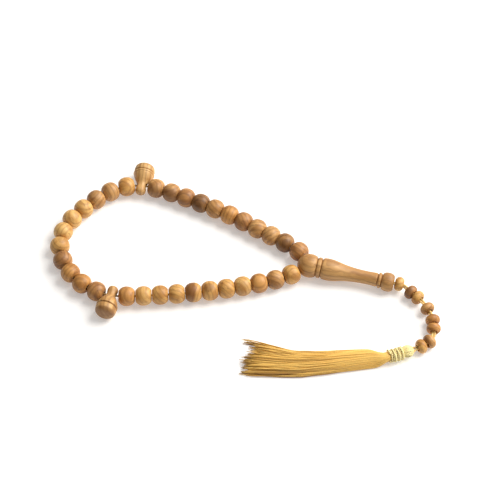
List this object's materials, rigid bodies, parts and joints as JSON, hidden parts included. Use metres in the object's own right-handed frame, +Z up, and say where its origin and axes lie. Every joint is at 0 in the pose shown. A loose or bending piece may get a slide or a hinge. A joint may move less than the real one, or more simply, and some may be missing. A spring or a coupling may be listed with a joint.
{
  "type": "misbaha prayer beads",
  "caption": "Loop of turned wooden prayer beads with mushroom-shaped markers, a long leader bead, a short beaded tail and a silky yarn tassel, laid out on a table.",
  "frame": {"origin": "on the table, under the middle of the laid-out beads, tail and tassel", "axes": "+Z up from the table; +X along the layout from the far end of the loop towards the leader bead and the tail; +Y from the tassel towards the loop"},
  "size_m": [0.1568, 0.101, 0.0095],
  "materials": {
    "wood_pale": "satin, hand polished",
    "wood_ochre": "satin, hand polished",
    "wood_tan": "satin, hand polished",
    "wood_orange": "satin, hand polished",
    "wood_brown": "satin, hand polished",
    "wood_dark": "satin, hand polished",
    "wood_marker": "satin, hand polished",
    "wood_imame": "satin, hand polished",
    "cord": "twisted satin cord",
    "tassel_yarn": "silky viscose yarn",
    "tassel_binding": "wound glossy thread"
  },
  "bodies": {
    "imame_and_loop": {"imame": "wood_imame", "loop_cord": "cord", "imame_cord": "cord"},
    "tail_1": {"tail_cord_1": "cord"},
    "tail_2": {"tail_cord_2": "cord"},
    "tail_3": {"tail_cord_3": "cord"},
    "tail_4": {"tail_cord_4": "cord"},
    "tassel": {"tassel_yarn": "tassel_yarn", "tassel_binding": "tassel_binding", "tassel_cord": "cord"},
    "upper_marker": {"upper_marker": "wood_marker"},
    "lower_marker": {"lower_marker": "wood_marker"},
    "bead_01": {"bead_01": "wood_brown"},
    "bead_02": {"bead_02": "wood_dark"},
    "bead_03": {"bead_03": "wood_tan"},
    "bead_04": {"bead_04": "wood_tan"},
    "bead_05": {"bead_05": "wood_brown"},
    "bead_06": {"bead_06": "wood_orange"},
    "bead_07": {"bead_07": "wood_tan"},
    "bead_08": {"bead_08": "wood_dark"},
    "bead_09": {"bead_09": "wood_brown"},
    "bead_10": {"bead_10": "wood_tan"},
    "bead_11": {"bead_11": "wood_tan"},
    "bead_12": {"bead_12": "wood_ochre"},
    "bead_13": {"bead_13": "wood_tan"},
    "bead_14": {"bead_14": "wood_tan"},
    "bead_15": {"bead_15": "wood_pale"},
    "bead_16": {"bead_16": "wood_pale"},
    "bead_17": {"bead_17": "wood_pale"},
    "bead_18": {"bead_18": "wood_ochre"},
    "bead_19": {"bead_19": "wood_brown"},
    "bead_20": {"bead_20": "wood_orange"},
    "bead_21": {"bead_21": "wood_orange"},
    "bead_22": {"bead_22": "wood_brown"},
    "bead_23": {"bead_23": "wood_orange"},
    "bead_24": {"bead_24": "wood_pale"},
    "bead_25": {"bead_25": "wood_ochre"},
    "bead_26": {"bead_26": "wood_ochre"},
    "bead_27": {"bead_27": "wood_ochre"},
    "bead_28": {"bead_28": "wood_ochre"},
    "bead_29": {"bead_29": "wood_ochre"},
    "bead_30": {"bead_30": "wood_pale"},
    "bead_31": {"bead_31": "wood_orange"},
    "bead_32": {"bead_32": "wood_tan"},
    "bead_33": {"bead_33": "wood_ochre"},
    "tail_bead_1": {"tail_bead_1": "wood_pale"},
    "tail_bead_2": {"tail_bead_2": "wood_brown"},
    "tail_bead_3": {"tail_bead_3": "wood_ochre"},
    "tail_bead_4": {"tail_bead_4": "wood_tan"},
    "tail_bead_5": {"tail_bead_5": "wood_orange"},
    "tail_bead_6": {"tail_bead_6": "wood_orange"},
    "tail_bead_7": {"tail_bead_7": "wood_tan"},
    "tail_bead_8": {"tail_bead_8": "wood_ochre"}
  },
  "joints": [
    {"name": "bend_tail_1", "type": "hinge", "parent": "imame_and_loop", "child": "tail_1", "pos_m": [0.0648, -0.00964, 0.00306], "axis": [0, 0, 1], "range_deg": [0, 40]},
    {"name": "bend_tail_2", "type": "hinge", "parent": "tail_1", "child": "tail_2", "pos_m": [0.07151, -0.01695, 0.00295], "axis": [0, 0, 1], "range_deg": [0, 30]},
    {"name": "bend_tail_3", "type": "hinge", "parent": "tail_2", "child": "tail_3", "pos_m": [0.07419, -0.02241, 0.00295], "axis": [0, 0, 1], "range_deg": [0, 25]},
    {"name": "bend_tail_4", "type": "hinge", "parent": "tail_3", "child": "tail_4", "pos_m": [0.07472, -0.03253, 0.00295], "axis": [0, 0, 1], "range_deg": [0, 66]},
    {"name": "bend_tassel", "type": "hinge", "parent": "tail_4", "child": "tassel", "pos_m": [0.06738, -0.03864, 0.00295], "axis": [0, 0, 1], "range_deg": [-12, 45]},
    {"name": "flip_lower_marker", "type": "hinge", "parent": "imame_and_loop", "child": "lower_marker", "pos_m": [-0.05307, -0.0141, 0.004], "axis": [-0.983, 0.1837, 0], "range_deg": [0, 85]},
    {"name": "flip_upper_marker", "type": "hinge", "parent": "imame_and_loop", "child": "upper_marker", "pos_m": [-0.04259, 0.04053, 0.004], "axis": [0.997, -0.0778, 0], "range_deg": [0, 85]},
    {"name": "spin_bead_01", "type": "hinge", "parent": "imame_and_loop", "child": "bead_01", "pos_m": [0.02227, 0.00718, 0.00406], "axis": [-0.6436, 0.7638, -0.0481], "continuous": true},
    {"name": "spin_bead_02", "type": "hinge", "parent": "imame_and_loop", "child": "bead_02", "pos_m": [0.01665, 0.01155, 0.00399], "axis": [-0.8419, 0.5396, 0.0039], "continuous": true},
    {"name": "spin_bead_03", "type": "hinge", "parent": "imame_and_loop", "child": "bead_03", "pos_m": [0.01103, 0.01513, 0.004], "axis": [-0.848, 0.5301, 0], "continuous": true},
    {"name": "spin_bead_04", "type": "hinge", "parent": "imame_and_loop", "child": "bead_04", "pos_m": [0.00542, 0.01863, 0.004], "axis": [-0.8459, 0.5333, 0], "continuous": true},
    {"name": "spin_bead_05", "type": "hinge", "parent": "imame_and_loop", "child": "bead_05", "pos_m": [-0.00017, 0.02216, 0.004], "axis": [-0.8489, 0.5286, 0], "continuous": true},
    {"name": "spin_bead_06", "type": "hinge", "parent": "imame_and_loop", "child": "bead_06", "pos_m": [-0.00596, 0.02557, 0.004], "axis": [-0.8751, 0.4839, 0], "continuous": true},
    {"name": "spin_bead_07", "type": "hinge", "parent": "imame_and_loop", "child": "bead_07", "pos_m": [-0.01189, 0.02867, 0.004], "axis": [-0.8956, 0.4449, 0], "continuous": true},
    {"name": "spin_bead_08", "type": "hinge", "parent": "imame_and_loop", "child": "bead_08", "pos_m": [-0.01787, 0.03156, 0.004], "axis": [-0.9053, 0.4247, 0], "continuous": true},
    {"name": "spin_bead_09", "type": "hinge", "parent": "imame_and_loop", "child": "bead_09", "pos_m": [-0.02393, 0.03432, 0.004], "axis": [-0.9147, 0.4041, 0], "continuous": true},
    {"name": "spin_bead_10", "type": "hinge", "parent": "imame_and_loop", "child": "bead_10", "pos_m": [-0.03007, 0.03692, 0.004], "axis": [-0.9271, 0.3749, 0], "continuous": true},
    {"name": "spin_bead_11", "type": "hinge", "parent": "imame_and_loop", "child": "bead_11", "pos_m": [-0.03649, 0.03922, 0.004], "axis": [-0.9595, 0.2819, 0], "continuous": true},
    {"name": "spin_bead_12", "type": "hinge", "parent": "imame_and_loop", "child": "bead_12", "pos_m": [-0.04878, 0.04009, 0.004], "axis": [-0.9772, -0.2125, 0], "continuous": true},
    {"name": "spin_bead_13", "type": "hinge", "parent": "imame_and_loop", "child": "bead_13", "pos_m": [-0.0554, 0.03741, 0.004], "axis": [-0.8667, -0.4989, 0], "continuous": true},
    {"name": "spin_bead_14", "type": "hinge", "parent": "imame_and_loop", "child": "bead_14", "pos_m": [-0.06108, 0.03339, 0.004], "axis": [-0.7667, -0.642, 0], "continuous": true},
    {"name": "spin_bead_15", "type": "hinge", "parent": "imame_and_loop", "child": "bead_15", "pos_m": [-0.06606, 0.02869, 0.004], "axis": [-0.6905, -0.7233, 0], "continuous": true},
    {"name": "spin_bead_16", "type": "hinge", "parent": "imame_and_loop", "child": "bead_16", "pos_m": [-0.07051, 0.02343, 0.004], "axis": [-0.5802, -0.8145, 0], "continuous": true},
    {"name": "spin_bead_17", "type": "hinge", "parent": "imame_and_loop", "child": "bead_17", "pos_m": [-0.07382, 0.01711, 0.004], "axis": [-0.3216, -0.9469, 0], "continuous": true},
    {"name": "spin_bead_18", "type": "hinge", "parent": "imame_and_loop", "child": "bead_18", "pos_m": [-0.07484, 0.00996, 0.004], "axis": [0.0487, -0.9988, 0], "continuous": true},
    {"name": "spin_bead_19", "type": "hinge", "parent": "imame_and_loop", "child": "bead_19", "pos_m": [-0.07326, 0.00296, 0.004], "axis": [0.3662, -0.9306, 0], "continuous": true},
    {"name": "spin_bead_20", "type": "hinge", "parent": "imame_and_loop", "child": "bead_20", "pos_m": [-0.06985, -0.00325, 0.004], "axis": [0.5866, -0.8099, 0], "continuous": true},
    {"name": "spin_bead_21", "type": "hinge", "parent": "imame_and_loop", "child": "bead_21", "pos_m": [-0.06503, -0.00843, 0.004], "axis": [0.7684, -0.6399, 0], "continuous": true},
    {"name": "spin_bead_22", "type": "hinge", "parent": "imame_and_loop", "child": "bead_22", "pos_m": [-0.05899, -0.01219, 0.004], "axis": [0.9144, -0.4049, 0], "continuous": true},
    {"name": "spin_bead_23", "type": "hinge", "parent": "imame_and_loop", "child": "bead_23", "pos_m": [-0.04684, -0.01452, 0.004], "axis": [1, -0.0089, 0], "continuous": true},
    {"name": "spin_bead_24", "type": "hinge", "parent": "imame_and_loop", "child": "bead_24", "pos_m": [-0.04012, -0.01434, 0.004], "axis": [0.9987, 0.0516, 0], "continuous": true},
    {"name": "spin_bead_25", "type": "hinge", "parent": "imame_and_loop", "child": "bead_25", "pos_m": [-0.0335, -0.01394, 0.004], "axis": [0.9976, 0.0695, 0], "continuous": true},
    {"name": "spin_bead_26", "type": "hinge", "parent": "imame_and_loop", "child": "bead_26", "pos_m": [-0.02686, -0.01339, 0.004], "axis": [0.9955, 0.0947, 0], "continuous": true},
    {"name": "spin_bead_27", "type": "hinge", "parent": "imame_and_loop", "child": "bead_27", "pos_m": [-0.02026, -0.0127, 0.004], "axis": [0.9936, 0.1128, 0], "continuous": true},
    {"name": "spin_bead_28", "type": "hinge", "parent": "imame_and_loop", "child": "bead_28", "pos_m": [-0.01366, -0.01189, 0.004], "axis": [0.9911, 0.133, 0], "continuous": true},
    {"name": "spin_bead_29", "type": "hinge", "parent": "imame_and_loop", "child": "bead_29", "pos_m": [-0.00706, -0.01089, 0.004], "axis": [0.9861, 0.1663, 0], "continuous": true},
    {"name": "spin_bead_30", "type": "hinge", "parent": "imame_and_loop", "child": "bead_30", "pos_m": [-0.00051, -0.00968, 0.004], "axis": [0.9806, 0.196, 0], "continuous": true},
    {"name": "spin_bead_31", "type": "hinge", "parent": "imame_and_loop", "child": "bead_31", "pos_m": [0.00601, -0.00829, 0.004], "axis": [0.975, 0.2221, 0], "continuous": true},
    {"name": "spin_bead_32", "type": "hinge", "parent": "imame_and_loop", "child": "bead_32", "pos_m": [0.01255, -0.00658, 0.00399], "axis": [0.9552, 0.2959, -0.0052], "continuous": true},
    {"name": "spin_bead_33", "type": "hinge", "parent": "imame_and_loop", "child": "bead_33", "pos_m": [0.01898, -0.0041, 0.00405], "axis": [0.9034, 0.4263, 0.0463], "continuous": true},
    {"name": "spin_tail_bead_1", "type": "hinge", "parent": "imame_and_loop", "child": "tail_bead_1", "pos_m": [0.06229, -0.00826, 0.00349], "axis": [0.9645, -0.2053, -0.166], "continuous": true},
    {"name": "spin_tail_bead_2", "type": "hinge", "parent": "tail_1", "child": "tail_bead_2", "pos_m": [0.06677, -0.01189, 0.00296], "axis": [0.6758, -0.737, -0.01], "continuous": true},
    {"name": "spin_tail_bead_3", "type": "hinge", "parent": "tail_1", "child": "tail_bead_3", "pos_m": [0.06945, -0.01451, 0.00295], "axis": [0.7006, -0.7136, 0.002], "continuous": true},
    {"name": "spin_tail_bead_4", "type": "hinge", "parent": "tail_2", "child": "tail_bead_4", "pos_m": [0.07306, -0.01974, 0.00295], "axis": [0.4303, -0.9027, 0], "continuous": true},
    {"name": "spin_tail_bead_5", "type": "hinge", "parent": "tail_3", "child": "tail_bead_5", "pos_m": [0.07485, -0.02523, 0.00295], "axis": [0.1486, -0.9889, 0], "continuous": true},
    {"name": "spin_tail_bead_6", "type": "hinge", "parent": "tail_3", "child": "tail_bead_6", "pos_m": [0.075, -0.02925, 0.00295], "axis": [-0.0291, -0.9996, 0], "continuous": true},
    {"name": "spin_tail_bead_7", "type": "hinge", "parent": "tail_4", "child": "tail_bead_7", "pos_m": [0.07307, -0.03527, 0.00295], "axis": [-0.7274, -0.6863, 0], "continuous": true},
    {"name": "spin_tail_bead_8", "type": "hinge", "parent": "tail_4", "child": "tail_bead_8", "pos_m": [0.06977, -0.0375, 0.00295], "axis": [-0.8845, -0.4666, 0], "continuous": true}
  ]
}
